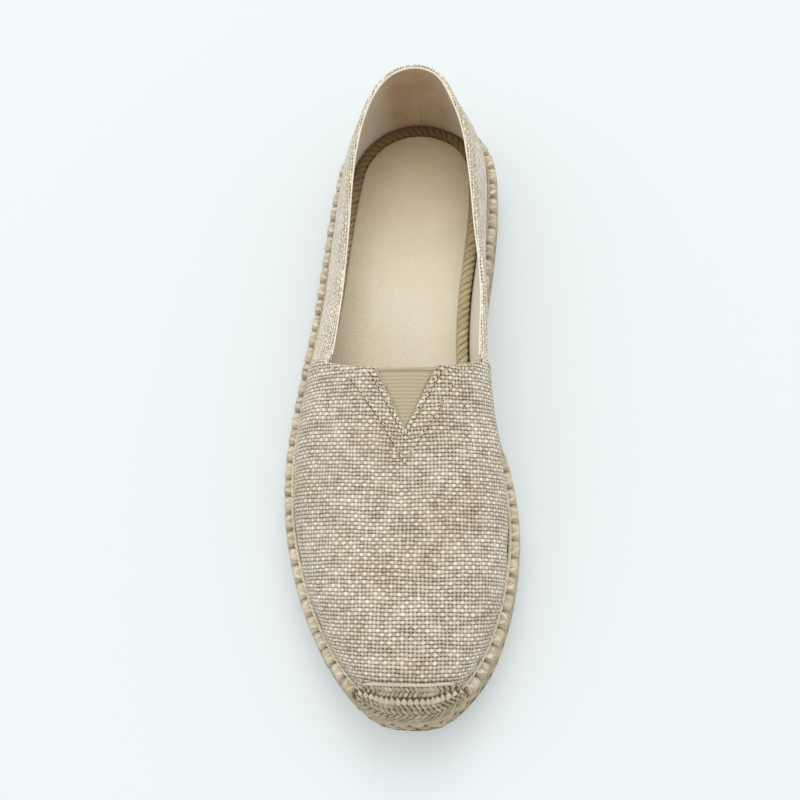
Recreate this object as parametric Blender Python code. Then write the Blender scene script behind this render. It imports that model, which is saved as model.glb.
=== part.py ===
"""A slip-on espadrille for the right foot: rope sole, braided rim and toe bumper,
cloth upper with an elastic gore, insole, and the rope that shows round the insole.

Metres, +Z up, toe towards -Y, inner side of the foot towards +X.
The origin is on the floor, under the middle of the shoe.
"""

import functools
import math
from collections import namedtuple

import bmesh
import bpy
import numpy as np
from mathutils import Vector

# Driving sizes of the sole
LENGTH = 0.262            # toe tip to back of the heel
BALL_WIDTH = 0.0924       # across the ball of the foot
HEEL_STACK = 0.020        # thickness under the heel
BALL_STACK = 0.018        # thickness under the ball
TOE_SPRING = 0.0050       # lift of the toe tip off the floor
ARCH_RISE = 0.0014        # lift of the waist off the floor
SPRING_START = 0.20       # share of the length where the toe begins to lift
ARCH_FRONT = 0.42         # share of the length where the waist lifts
ARCH_BACK = 0.78          # share of the length where the heel is down again
ROPE_ROWS = 3             # rows of rope in the side, below the rim
ROW_GROOVE = 0.0010       # depth of the groove between two rows
ROW_ROUND = 0.28          # share of a row's height that its round takes, above and below
BOTTOM_EDGE = 0.0018      # rounding of the sole's lower edge

# Driving sizes of the rim
RIM_WIDTH = 0.0038        # step round the sole's top, outside the cloth
RIM_DROP = 0.0040         # depth of that step
RIM_CROWN = 0.0008        # how far the pads stand above the sole's top
PAD_PITCH = 0.0072        # length of one pad of the braid
PAD_GROOVE = 0.0008       # waist between two pads
PAD_FOOT = 0.0009         # a pad's outer foot is tucked in this much
PAD_ROUND = 0.30          # share of a pad's width that each shoulder's round takes
PAD_SHOULDER = 0.0012     # drop of the inner shoulder
PAD_FALL = 0.0002         # fall of the crown towards the outside

# Driving sizes of the upper
INSTEP_HEIGHT = 0.058     # top of the vamp at the throat
TOE_HEIGHT = 0.037        # top of the toe box, carried on to the toe tip
COLLAR_HEIGHT = 0.063     # collar at the back of the heel
CLOTH_WALL = 0.0018       # quarter: cloth and lining together
VAMP_STEP = 0.0008        # the vamp lies this much proud of the quarters
SEAM_ALONG_LATERAL = 0.550  # share of the length of the outer side seam, at the sole
SEAM_ALONG_MEDIAL = 0.530   # the same of the inner side seam
THROAT_ALONG = 0.484      # share of the length of the throat, on the instep
TOE_CENTRE = 0.165        # share of the length of the toe box's centre
SEAM_JOG = 0.0004         # run of the step at the side seam
FEATHER = RIM_WIDTH + VAMP_STEP  # where the cloth stands on the sole, in from its edge

# Driving sizes of the gore
GORE_WIDTH = 0.0230       # along the throat
GORE_DEPTH = 0.0225       # from the throat to the point of the V
GORE_THICK = 0.0012
GORE_SINK = 0.0004        # below the quarters' outer face

# Driving sizes of the toe bumper
BUMPER_WRAP = 0.025       # from the toe tip round to each end, along the sole's edge
BUMPER_REACH = 36.0       # degrees up the toe box's round
BUMPER_END = 2.5          # degrees up the round at its two ends
BUMPER_SQUARE = 2.5       # how squarely its top line turns down to those ends
BUMPER_THICK = 0.0015
BUMPER_EDGE = 0.0004      # set back from the sole's edge
BUMPER_SEAT = 0.0007      # off the vamp's curved face
BUMPER_FOOT = 0.33        # share of its height over which it leans in from upright
BUMPER_FLARE = 1.5        # how fast the spread of its foot dies out upwards

# Driving sizes of what lies inside
FOOT_ROPE_WIDTH = 0.0042
FOOT_ROPE_HEIGHT = 0.0027
INSOLE_THICK = 0.0020
INSOLE_EDGE = 0.0006      # bevel of its upper edge

GAP = 0.0003              # between pieces that touch in the real shoe

# How finely the round forms are faceted
CURVE_STEPS = 12          # between two points of a drawn curve
TOE_STEPS = 8
VAMP_STEPS = 11
QUARTER_STEPS = 20
WALL_ROWS = 6
CROWN_ROWS = 5
ROPE_SIDES = 6
FOOT_ROPE_STEPS = 64
BUMPER_STEPS = 10
BUMPER_ROWS = 6
SLOPE_STEP = 0.5          # degrees between two points that give the toe box's slope

LATERAL = "lateral"
MEDIAL = "medial"
SIDES = (LATERAL, MEDIAL)
SEAM = 0.5                # where the side seam stands on the way from toe to heel
TOE_PLACE = 0.14          # sections up to this place all run to the toe box's centre
PROUD = "proud"           # how far the outer face stands off the quarters' level, at each vertex
FACES_UP = 0.3            # least upright part of the normal of a face on the instep

# Sole outline: along is a share of the length, the others are shares of the ball width from the middle
Outline = namedtuple("Outline", "along lateral medial")
SOLE_OUTLINE = (
    Outline(0.008, -0.068, 0.200),
    Outline(0.028, -0.147, 0.268),
    Outline(0.069, -0.247, 0.360),
    Outline(0.150, -0.372, 0.451),
    Outline(0.214, -0.436, 0.487),
    Outline(0.279, -0.478, 0.500),
    Outline(0.382, -0.500, 0.462),
    Outline(0.466, -0.482, 0.387),
    Outline(0.553, -0.447, 0.351),
    Outline(0.650, -0.407, 0.352),
    Outline(0.749, -0.379, 0.380),
    Outline(0.851, -0.346, 0.396),
    Outline(0.916, -0.308, 0.377),
    Outline(0.962, -0.222, 0.302),
    Outline(0.990, -0.103, 0.178),
)
TOE_TIP = 0.068           # share of the ball width
HEEL_TIP = 0.036          # share of the ball width

# Collar: along and across as above, height is a share of the collar's height at the back
Collar = namedtuple("Collar", "along lateral medial height")
COLLAR_LINE = (
    Collar(0.515, -0.300, 0.366, 0.737),
    Collar(0.607, -0.268, 0.356, 0.742),
    Collar(0.729, -0.246, 0.324, 0.798),
    Collar(0.828, -0.230, 0.293, 0.878),
    Collar(0.889, -0.202, 0.264, 0.930),
    Collar(0.943, -0.149, 0.205, 0.975),
    Collar(0.977, -0.076, 0.152, 0.995),
)
COLLAR_BACK_ALONG = 0.9915
COLLAR_BACK_ACROSS = 0.042

# Height of the vamp's ridge: along is a share of the length, rise of the way from toe height to instep height
Ridge = namedtuple("Ridge", "along rise")
RIDGE_LINE = (
    Ridge(-0.05, 0.00),
    Ridge(0.10, 0.10),
    Ridge(0.20, 0.20),
    Ridge(0.30, 0.40),
    Ridge(0.40, 0.69),
    Ridge(0.484, 1.00),
    Ridge(0.60, 1.40),
)
RIDGE_TOE = 0.062         # share of the ball width
RIDGE_THROAT = 0.037      # share of the ball width
THROAT_SWEEP = 3.0        # how much flatter the throat line runs across the instep than at the sides
RIDGE_CROWD = 1.2         # how much the sections crowd at the toe box's end of the ridge

# Form of the wall: place runs 0 at the toe, 0.5 at the side seam, 1 at the heel.
# square is the exponent of the section's curve, swell the bulge over the sole in shares of the ball width,
# turn the angle on that curve where the collar's level is reached.
Form = namedtuple("Form", "place square swell turn")
WALL_FORM = {
    LATERAL: (
        Form(0.00, 2.45, 0.000, 42.0),
        Form(0.15, 2.35, 0.004, 42.0),
        Form(0.32, 2.20, 0.008, 42.5),
        Form(0.50, 2.15, 0.012, 43.0),
        Form(1.00, 2.15, 0.012, 43.0),
    ),
    MEDIAL: (
        Form(0.00, 2.45, 0.000, 42.0),
        Form(0.15, 2.40, 0.004, 42.0),
        Form(0.32, 2.45, 0.025, 40.0),
        Form(0.50, 2.75, 0.100, 35.0),
        Form(1.00, 2.75, 0.070, 35.0),
    ),
}
SWELL_RISE = 0.6          # share of the section's rise where its swell is full
HEEL_SWELL = 0.0022       # bulge of the quarters between sole and collar
QUARTER_LEAN = 1.3        # how late the quarters lean in on their way up
QUARTER_BLEND = 0.42      # share of the quarter over which the vamp's section fades out
COLLAR_SETTLE = 0.06      # share of the quarter over which that section comes down to the collar


def through(points, closed=False):
    """Dense points of a smooth curve through the given ones."""
    knots = np.array(points, dtype=float)
    if closed:
        knots = np.vstack([knots[-1], knots, knots[:2]])
    else:
        knots = np.vstack([2 * knots[0] - knots[1], knots, 2 * knots[-1] - knots[-2]])
    chord = np.linalg.norm(np.diff(knots, axis=0), axis=1)[:, None]
    slope = np.diff(knots, axis=0) / chord
    tangent = (slope[:-1] * chord[1:] + slope[1:] * chord[:-1]) / (chord[:-1] + chord[1:])
    dense = []
    for i in range(len(knots) - 3):
        start, end = knots[i + 1], knots[i + 2]
        leave = tangent[i] * chord[i + 1]
        arrive = tangent[i + 1] * chord[i + 1]
        for t in np.arange(CURVE_STEPS) / CURVE_STEPS:
            dense.append(
                start * (2 * t**3 - 3 * t**2 + 1)
                + leave * (t**3 - 2 * t**2 + t)
                + end * (3 * t**2 - 2 * t**3)
                + arrive * (t**3 - t**2)
            )
    if not closed:
        dense.append(knots[-2])
    return np.array(dense)


@functools.lru_cache(maxsize=None)
def table_curve(rows, column):
    """Dense points of one column of a table against its first column."""
    return through([(row[0], getattr(row, column)) for row in rows])


def read_table(rows, column, share):
    """Value of one column of a table, read smoothly at a share of its first column."""
    curve = table_curve(rows, column)
    return float(np.interp(share, curve[:, 0], curve[:, 1]))


def smooth(t):
    """Rises from 0 to 1 with a flat start and end."""
    t = min(max(t, 0.0), 1.0)
    return t * t * (3.0 - 2.0 * t)


def along(share):
    """Y of a place given as a share of the length from the toe."""
    return (share - 0.5) * LENGTH


def share_of(y):
    """Share of the length from the toe at a Y."""
    return y / LENGTH + 0.5


# Outline of the sole, run once round from the toe tip by the outer side, the heel and the inner side
outline_knots = [(TOE_TIP * BALL_WIDTH, along(0.0))]
outline_knots += [(row.lateral * BALL_WIDTH, along(row.along)) for row in SOLE_OUTLINE]
outline_knots += [(HEEL_TIP * BALL_WIDTH, along(1.0))]
outline_knots += [(row.medial * BALL_WIDTH, along(row.along)) for row in reversed(SOLE_OUTLINE)]
OUTLINE = through(outline_knots, closed=True)
OUTLINE = np.vstack([OUTLINE, OUTLINE[:1]])
HEEL_INDEX = (len(SOLE_OUTLINE) + 1) * CURVE_STEPS
STEP_LENGTH = np.linalg.norm(np.diff(OUTLINE, axis=0), axis=1)
RUN = np.concatenate([[0.0], np.cumsum(STEP_LENGTH)])
AROUND = RUN[-1]
HEEL_RUN = RUN[HEEL_INDEX]
OUTLINE_SLOPE = np.gradient(np.vstack([OUTLINE[-2], OUTLINE, OUTLINE[1]]), axis=0)[1:-1]
SEAM_RUN = {
    LATERAL: float(np.interp(along(SEAM_ALONG_LATERAL), OUTLINE[:HEEL_INDEX, 1], RUN[:HEEL_INDEX])),
    MEDIAL: float(np.interp(along(SEAM_ALONG_MEDIAL), OUTLINE[:HEEL_INDEX:-1, 1], RUN[:HEEL_INDEX:-1])),
}


def on_outline(run):
    """Point of the sole's outline, and the direction into the shoe, at a distance along it."""
    run = run % AROUND
    point = np.array([np.interp(run, RUN, OUTLINE[:, 0]), np.interp(run, RUN, OUTLINE[:, 1])])
    slope = np.array([np.interp(run, RUN, OUTLINE_SLOPE[:, 0]), np.interp(run, RUN, OUTLINE_SLOPE[:, 1])])
    inward = np.array([slope[1], -slope[0]])
    return point, inward / np.linalg.norm(inward)


def run_at(side, place):
    """Distance along the outline of a place between toe (0), side seam (0.5) and heel (1)."""
    if side == LATERAL:
        return float(np.interp(place, [0.0, SEAM, 1.0], [0.0, SEAM_RUN[side], HEEL_RUN]))
    return float(np.interp(place, [0.0, SEAM, 1.0], [AROUND, SEAM_RUN[side], HEEL_RUN]))


def edge_point(side, place, inset=0.0):
    """Point set in from the sole's edge, at a place on one side."""
    point, inward = on_outline(run_at(side, place))
    return point + inward * inset


def sole_under(y):
    """Height of the sole's underside: flat under ball and heel, raised at toe and waist."""
    share = share_of(y)
    spring = TOE_SPRING * max(0.0, 1.0 - share / SPRING_START) ** 2
    waist = min(max((share - ARCH_FRONT) / (ARCH_BACK - ARCH_FRONT), 0.0), 1.0)
    return spring + ARCH_RISE * math.sin(math.pi * waist) ** 2


def sole_top(y):
    """Height of the sole's upper face."""
    share = share_of(y)
    spring = TOE_SPRING * max(0.0, 1.0 - share / SPRING_START) ** 2
    heel = smooth((share - ARCH_FRONT) / (ARCH_BACK - ARCH_FRONT))
    return spring + BALL_STACK + (HEEL_STACK - BALL_STACK) * heel


def ridge_height(y):
    """Height of the vamp's ridge at a place along the shoe."""
    rise = read_table(RIDGE_LINE, "rise", share_of(y))
    return TOE_HEIGHT + (INSTEP_HEIGHT - TOE_HEIGHT) * rise


def ridge_point(place):
    """Point of the vamp's ridge that the section at a place runs up to."""
    way = max(0.0, (place - TOE_PLACE) / (SEAM - TOE_PLACE)) ** RIDGE_CROWD
    share = TOE_CENTRE + (THROAT_ALONG - TOE_CENTRE) * way
    across = RIDGE_TOE + (RIDGE_THROAT - RIDGE_TOE) * min(way, 1.0)
    return np.array([across * BALL_WIDTH, along(share)])


def section_point(side, place, angle):
    """Point of the foot's form: angle 0 at the sole, 90 degrees on the ridge."""
    form = WALL_FORM[side]
    square = read_table(form, "square", place)
    swell = read_table(form, "swell", place) * BALL_WIDTH
    foot = edge_point(side, place, FEATHER)
    top = ridge_point(place)
    across = max(math.cos(angle), 0.0) ** (2.0 / square)
    rise = math.sin(angle) ** (2.0 / square)
    span = np.linalg.norm(foot - top)
    reach = across * (1.0 + swell / span * smooth(rise / SWELL_RISE))
    bend = smooth((place - TOE_PLACE) / (SEAM - TOE_PLACE))
    back = reach + (across**THROAT_SWEEP - reach) * bend
    x = top[0] + (foot[0] - top[0]) * reach
    y = top[1] + (foot[1] - top[1]) * back
    base = sole_top(foot[1]) + GAP
    z = base + (ridge_height(y) - base) * rise
    return np.array([x, y, z])


# Collar line, from the outer corner round the back to the inner corner
collar_knots = [
    (row.lateral * BALL_WIDTH, along(row.along), row.height * COLLAR_HEIGHT) for row in COLLAR_LINE
]
collar_knots += [(COLLAR_BACK_ACROSS * BALL_WIDTH, along(COLLAR_BACK_ALONG), COLLAR_HEIGHT)]
collar_knots += [
    (row.medial * BALL_WIDTH, along(row.along), row.height * COLLAR_HEIGHT) for row in reversed(COLLAR_LINE)
]
COLLAR = through(collar_knots)
COLLAR_RUN = np.concatenate([[0.0], np.cumsum(np.linalg.norm(np.diff(COLLAR, axis=0), axis=1))])
COLLAR_MIDDLE = COLLAR_RUN[len(COLLAR_LINE) * CURVE_STEPS]


def collar_point(side, way):
    """Point of the collar: way 0 at the side seam, 1 at the back."""
    if side == LATERAL:
        run = way * COLLAR_MIDDLE
    else:
        run = COLLAR_RUN[-1] + way * (COLLAR_MIDDLE - COLLAR_RUN[-1])
    return np.array([np.interp(run, COLLAR_RUN, COLLAR[:, k]) for k in range(3)])


def quarter_point(side, place, share):
    """Point of the quarter's outer face: share 0 at the sole, 1 at the collar."""
    way = (place - SEAM) / (1.0 - SEAM)
    point, inward = on_outline(run_at(side, place))
    foot = point + inward * FEATHER
    top = collar_point(side, way)
    base = sole_top(foot[1]) + GAP
    plan = foot + (top[:2] - foot) * share**QUARTER_LEAN - inward * HEEL_SWELL * math.sin(math.pi * share)
    wall = np.array([plan[0], plan[1], base + (top[2] - base) * share])
    turn = math.radians(read_table(WALL_FORM[side], "turn", place))
    arch = section_point(side, place, turn * share)
    crest = section_point(side, place, turn)
    fit = (top[2] - base) / (crest[2] - base)
    arch[2] = base + (arch[2] - base) * (1.0 + (fit - 1.0) * smooth(way / COLLAR_SETTLE))
    keep = smooth(1.0 - way / QUARTER_BLEND)
    return wall + (arch - wall) * keep


def vamp_column(side, place):
    """Points of one section of the vamp, from the sole to the ridge."""
    turn = math.radians(read_table(WALL_FORM[side], "turn", place))
    angles = [turn * i / WALL_ROWS for i in range(WALL_ROWS + 1)]
    angles += [turn + (math.pi / 2 - turn) * (i + 1) / CROWN_ROWS for i in range(CROWN_ROWS)]
    return [section_point(side, place, angle) for angle in angles]


def quarter_column(side, place):
    """Points of one section of the quarter, from the sole to the collar."""
    return [quarter_point(side, place, i / WALL_ROWS) for i in range(WALL_ROWS + 1)]


def upper_skin():
    """Open skin of the whole upper, its faces pointing out of the shoe."""
    skin = bmesh.new()
    proud = skin.verts.layers.float.new(PROUD)
    toe = [TOE_PLACE * i / TOE_STEPS for i in range(TOE_STEPS)]
    body = [TOE_PLACE + (SEAM - TOE_PLACE) * i / VAMP_STEPS for i in range(VAMP_STEPS + 1)]
    jog = SEAM + SEAM_JOG / (HEEL_RUN - SEAM_RUN[LATERAL]) * (1.0 - SEAM)
    back = [jog + (1.0 - jog) * i / QUARTER_STEPS for i in range(QUARTER_STEPS + 1)]
    for side in SIDES:
        columns = [vamp_column(side, place) for place in toe + body]
        columns += [quarter_column(side, place) for place in back]
        verts = [[skin.verts.new(p) for p in column] for column in columns]
        for column in verts[:len(toe + body)]:
            for v in column:
                v[proud] = VAMP_STEP
        for left, right in zip(verts, verts[1:]):
            for i in range(min(len(left), len(right)) - 1):
                corners = [left[i], left[i + 1], right[i + 1], right[i]]
                if side == MEDIAL:
                    corners.reverse()
                skin.faces.new(corners)
    bmesh.ops.remove_doubles(skin, verts=skin.verts[:], dist=1e-6)
    skin.normal_update()
    return skin


def thicken(skin, outside, inside):
    """Closed solid between the skin moved out by outside(vertex) and in by inside; its foot stays level."""
    skin.normal_update()
    solid = bmesh.new()
    outer = {}
    inner = {}
    for v in skin.verts:
        normal = v.normal.copy()
        if v.is_boundary and v.co.z < sole_top(v.co.y) + 2 * GAP:
            normal.z = 0.0
            normal.normalize()
        outer[v] = solid.verts.new(v.co + normal * outside(v))
        inner[v] = solid.verts.new(v.co - normal * inside)
    for face in skin.faces:
        solid.faces.new([outer[v] for v in face.verts])
        solid.faces.new([inner[v] for v in reversed(face.verts)])
    for edge in skin.edges:
        if edge.is_boundary:
            loop = edge.link_loops[0]
            a, b = loop.vert, loop.link_loop_next.vert
            solid.faces.new([outer[b], outer[a], inner[a], inner[b]])
    skin.free()
    return solid


def gore_edges(inset):
    """The V's two upright cutting planes, moved into the V by the inset."""
    middle = ridge_point(SEAM)
    point = Vector((middle[0], middle[1] - GORE_DEPTH, 0.0))
    planes = []
    for sign in (-1.0, 1.0):
        corner = Vector((middle[0] + sign * GORE_WIDTH / 2, middle[1], 0.0))
        outward = (corner - point).cross(Vector((0.0, 0.0, 1.0))).normalized() * sign
        planes.append((corner - outward * inset, outward))
    return planes


def add_object(name, solid, colour, roughness):
    """One named object from a closed solid, smooth but for its real edges."""
    bmesh.ops.recalc_face_normals(solid, faces=solid.faces[:])
    bmesh.ops.triangulate(solid, faces=[f for f in solid.faces if len(f.verts) > 4])
    mesh = bpy.data.meshes.new(name)
    solid.to_mesh(mesh)
    solid.free()
    mesh.shade_smooth()
    mesh.set_sharp_from_angle(angle=math.radians(40))
    material = bpy.data.materials.new(name)
    material.use_nodes = True
    shader = material.node_tree.nodes["Principled BSDF"]
    shader.inputs["Base Color"].default_value = (*colour, 1.0)
    shader.inputs["Roughness"].default_value = roughness
    shader.inputs["Metallic"].default_value = 0.0
    mesh.materials.append(material)
    obj = bpy.data.objects.new(name, mesh)
    bpy.context.scene.collection.objects.link(obj)
    return obj


def loft(solid, rings, closed):
    """Skins over rings of equal count; an open loft gets a flat cap at each end."""
    loops = [[solid.verts.new(p) for p in ring] for ring in rings]
    pairs = list(zip(loops, loops[1:]))
    if closed:
        pairs.append((loops[-1], loops[0]))
    for one, two in pairs:
        for i in range(len(one)):
            j = (i + 1) % len(one)
            solid.faces.new([one[i], one[j], two[j], two[i]])
    if not closed:
        solid.faces.new(reversed(loops[0]))
        solid.faces.new(loops[-1])
    return loops


def even_places():
    """Places along one side, toe to heel, that the sole and the insole share."""
    toe = [TOE_PLACE * i / TOE_STEPS for i in range(TOE_STEPS)]
    count = VAMP_STEPS + QUARTER_STEPS
    body = [TOE_PLACE + (1.0 - TOE_PLACE) * i / count for i in range(count)]
    return toe + body + [1.0]


def slab(profile):
    """Flat-lying solid over the sole's plan from profile(side, place), which runs bottom to top."""
    solid = bmesh.new()
    places = even_places()
    path = [(LATERAL, place) for place in places]
    path += [(MEDIAL, place) for place in reversed(places[1:-1])]
    columns = [[solid.verts.new(p) for p in profile(side, place)] for side, place in path]
    count = len(columns)
    for k in range(count):
        one, two = columns[k], columns[(k + 1) % count]
        for i in range(len(one) - 1):
            solid.faces.new([one[i], two[i], two[i + 1], one[i + 1]])
    last = len(places) - 1
    for level in (0, -1):
        for k in range(last):
            left, right = columns[k][level], columns[k + 1][level]
            far_left, far_right = columns[-k % count][level], columns[count - k - 1][level]
            corners = []
            for v in (left, right, far_right, far_left):
                if v not in corners:
                    corners.append(v)
            solid.faces.new(corners)
    return solid


def sole_profile(side, place):
    """The sole's side: a rounded lower edge, the rows of rope, then the step for the rim."""
    y = edge_point(side, place)[1]
    under = sole_under(y)
    top = sole_top(y)
    shelf = top - RIM_DROP
    row_height = (shelf - under) / ROPE_ROWS
    points = [(BOTTOM_EDGE, under)]
    for row in range(ROPE_ROWS):
        start = under + row * row_height
        if row:
            points.append((ROW_GROOVE, start))
        points.append((0.0, start + ROW_ROUND * row_height))
        points.append((0.0, start + (1.0 - ROW_ROUND) * row_height))
    points += [(ROW_GROOVE, shelf), (RIM_WIDTH, shelf)]
    column = [(*edge_point(side, place, inset), z) for inset, z in points]
    inner = edge_point(side, place, RIM_WIDTH)
    column.append((*inner, sole_top(inner[1])))
    return column


def insole_profile(side, place):
    """The insole's side, upright with a bevelled upper edge, inside the rope laid round it."""
    inset = FEATHER + CLOTH_WALL + FOOT_ROPE_WIDTH + 2 * GAP
    x, y = edge_point(side, place, inset)
    base = sole_top(y) + GAP
    inner = edge_point(side, place, inset + INSOLE_EDGE)
    return [(x, y, base), (x, y, base + INSOLE_THICK - INSOLE_EDGE), (*inner, base + INSOLE_THICK)]


def rim_ring(run, full):
    """Section of the rim's braid at a distance along the sole's edge: full on a pad, or its waist."""
    point, inward = on_outline(run)
    top = sole_top(point[1])
    floor = top - RIM_DROP + GAP
    outer = 0.0 if full else PAD_GROOVE
    inner = RIM_WIDTH - GAP
    crown = top + RIM_CROWN - outer
    middle = 0.5 * (floor + crown)
    shape = [
        (outer + PAD_FOOT, floor),
        (inner, floor),
        (inner, crown - PAD_SHOULDER),
        (inner + PAD_ROUND * (outer - inner), crown),
        (outer + PAD_ROUND * (inner - outer), crown - PAD_FALL),
        (outer, middle),
    ]
    return [(*(point + inward * inset), z) for inset, z in shape]


def bumper_ring(side, place):
    """Section of the toe bumper: down its outer face, under its foot, up its inner face."""
    wrap = abs(run_at(side, place) - run_at(side, 0.0)) / BUMPER_WRAP
    fall = max(1.0 - wrap**BUMPER_SQUARE, 0.0) ** (1.0 / BUMPER_SQUARE)
    reach = math.radians(BUMPER_END + BUMPER_REACH * fall)
    point, inward = on_outline(run_at(side, place))
    clear = VAMP_STEP + BUMPER_SEAT
    flare = FEATHER - clear - BUMPER_THICK - BUMPER_EDGE
    outer = []
    inner = []
    for i in range(BUMPER_ROWS + 1):
        share = i / BUMPER_ROWS
        angle = reach * share
        here = section_point(side, place, angle)
        rise = section_point(side, place, angle + math.radians(SLOPE_STEP)) - here
        over = float(np.dot(rise[:2], inward))
        out = np.array([-inward[0] * rise[2], -inward[1] * rise[2], over])
        out /= np.linalg.norm(out)
        level = smooth(share / BUMPER_FOOT)
        out = out * level + np.array([-inward[0], -inward[1], 0.0]) * (1.0 - level)
        out /= np.linalg.norm(out)
        inner.append(here + out * clear)
        away = np.array([-inward[0], -inward[1], 0.0]) * flare * (1.0 - share) ** BUMPER_FLARE
        outer.append(here + out * (clear + BUMPER_THICK) + away)
    floor = sole_top(point[1]) - RIM_DROP + GAP
    foot_outer = (*(point + inward * BUMPER_EDGE), floor)
    foot_inner = (*(point + inward * (RIM_WIDTH - GAP)), floor)
    return outer[::-1] + [foot_outer, foot_inner] + inner


def round_gore(face, before):
    """Whether a face lies on the instep round the V, counting a band in front of its point."""
    centre = face.calc_center_median()
    middle = ridge_point(SEAM)
    point_y = middle[1] - GORE_DEPTH
    in_length = point_y - before < centre.y < point_y + 2 * GORE_DEPTH
    return in_length and abs(centre.x - middle[0]) < GORE_WIDTH and face.normal.z > FACES_UP


def build_upper():
    """Quarters and vamp as one shell with the vamp a step in its wall, and the V cut out of it."""
    skin = upper_skin()
    planes = gore_edges(0.0)
    for corner, outward in planes:
        near = [f for f in skin.faces if round_gore(f, 0.5 * GORE_WIDTH)]
        parts = set(near)
        for f in near:
            parts.update(f.edges)
            parts.update(f.verts)
        bmesh.ops.bisect_plane(skin, geom=list(parts), dist=1e-6, plane_co=corner, plane_no=outward)
    inside = [
        f for f in skin.faces
        if round_gore(f, 0.0)
        and all((f.calc_center_median() - corner).dot(outward) < 0.0 for corner, outward in planes)
    ]
    bmesh.ops.delete(skin, geom=inside, context="FACES")
    proud = skin.verts.layers.float[PROUD]
    solid = thicken(skin, lambda v: v[proud], CLOTH_WALL)
    return add_object("upper", solid, (0.52, 0.46, 0.37), 0.92)


def build_gore():
    """The elastic V: the same skin between the cutting planes, a little sunk."""
    skin = upper_skin()
    point_y = ridge_point(SEAM)[1] - GORE_DEPTH
    for corner, outward in gore_edges(GAP):
        parts = skin.verts[:] + skin.edges[:] + skin.faces[:]
        bmesh.ops.bisect_plane(
            skin, geom=parts, dist=1e-6, plane_co=corner, plane_no=outward, clear_outer=True
        )
    behind = [f for f in skin.faces if f.calc_center_median().y > point_y + 2 * GORE_DEPTH]
    bmesh.ops.delete(skin, geom=behind, context="FACES")
    solid = thicken(skin, lambda v: -GORE_SINK, GORE_SINK + GORE_THICK)
    return add_object("gore", solid, (0.52, 0.44, 0.30), 0.85)


def build_sole():
    """The coiled rope sole as one solid."""
    return add_object("rope_sole", slab(sole_profile), (0.42, 0.33, 0.22), 0.95)


def build_insole():
    """The insole, lying on the sole."""
    return add_object("insole", slab(insole_profile), (0.64, 0.57, 0.45), 0.9)


def build_foot_rope():
    """Rope laid round the insole, flattened where the lining and the insole press it."""
    solid = bmesh.new()
    rings = []
    middle = FEATHER + CLOTH_WALL + GAP + 0.5 * FOOT_ROPE_WIDTH
    for k in range(FOOT_ROPE_STEPS):
        point, inward = on_outline(AROUND * k / FOOT_ROPE_STEPS)
        ring = []
        for i in range(ROPE_SIDES):
            turn = 2 * math.pi * (i + 0.5) / ROPE_SIDES
            inset = middle + 0.5 * FOOT_ROPE_WIDTH * math.cos(turn)
            place = point + inward * inset
            lift = 0.5 * FOOT_ROPE_HEIGHT * (1.0 + math.sin(turn))
            ring.append((*place, sole_top(place[1]) + GAP + lift))
        rings.append(ring)
    loft(solid, rings, closed=True)
    return add_object("foot_rope", solid, (0.36, 0.26, 0.15), 0.95)


def build_rim():
    """The rim's braid, from one end of the toe bumper round the heel to the other."""
    solid = bmesh.new()
    start = BUMPER_WRAP + GAP
    end = AROUND - BUMPER_WRAP - GAP
    pads = round((end - start) / PAD_PITCH)
    pitch = (end - start) / pads
    rings = [rim_ring(start, False)]
    for pad in range(pads):
        rings.append(rim_ring(start + (pad + 0.5) * pitch, True))
        rings.append(rim_ring(start + (pad + 1.0) * pitch, False))
    loft(solid, rings, closed=False)
    return add_object("rim_braid", solid, (0.50, 0.42, 0.29), 0.95)


def build_bumper():
    """The braided bumper over the toe, seated on the step of the rim."""
    solid = bmesh.new()
    ends = {side: abs(SEAM_RUN[side] - run_at(side, 0.0)) for side in SIDES}
    rings = []
    for i in range(-BUMPER_STEPS, BUMPER_STEPS + 1):
        side = LATERAL if i < 0 else MEDIAL
        place = abs(i) / BUMPER_STEPS * BUMPER_WRAP / ends[side] * SEAM
        rings.append(bumper_ring(side, place))
    loft(solid, rings, closed=False)
    return add_object("toe_bumper", solid, (0.42, 0.37, 0.24), 0.95)


for old in list(bpy.data.objects):
    bpy.data.objects.remove(old, do_unlink=True)

build_sole()
build_rim()
build_bumper()
build_upper()
build_gore()
build_insole()
build_foot_rope()
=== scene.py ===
import math

import bmesh
import bpy
import numpy as np
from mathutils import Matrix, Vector
from mathutils.bvhtree import BVHTree


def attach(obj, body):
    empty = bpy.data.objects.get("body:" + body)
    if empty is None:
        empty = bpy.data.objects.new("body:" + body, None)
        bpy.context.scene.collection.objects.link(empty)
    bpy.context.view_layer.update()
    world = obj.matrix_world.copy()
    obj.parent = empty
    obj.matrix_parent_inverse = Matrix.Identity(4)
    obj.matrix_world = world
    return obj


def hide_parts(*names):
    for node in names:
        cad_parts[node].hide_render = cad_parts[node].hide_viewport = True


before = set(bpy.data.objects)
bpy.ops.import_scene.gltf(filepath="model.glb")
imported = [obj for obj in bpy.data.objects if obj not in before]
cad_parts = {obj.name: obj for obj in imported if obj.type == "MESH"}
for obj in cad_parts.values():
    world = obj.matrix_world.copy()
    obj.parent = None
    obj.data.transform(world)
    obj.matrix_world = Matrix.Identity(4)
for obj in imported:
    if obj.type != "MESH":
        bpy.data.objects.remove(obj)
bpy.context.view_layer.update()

MM = 0.001

# Rope sole
# A long plait of jute, coiled flat and sewn through from edge to edge, about 18 mm thick.
# Its underside shows the turns of the coil; the plaits round its side are laid on below.

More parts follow.
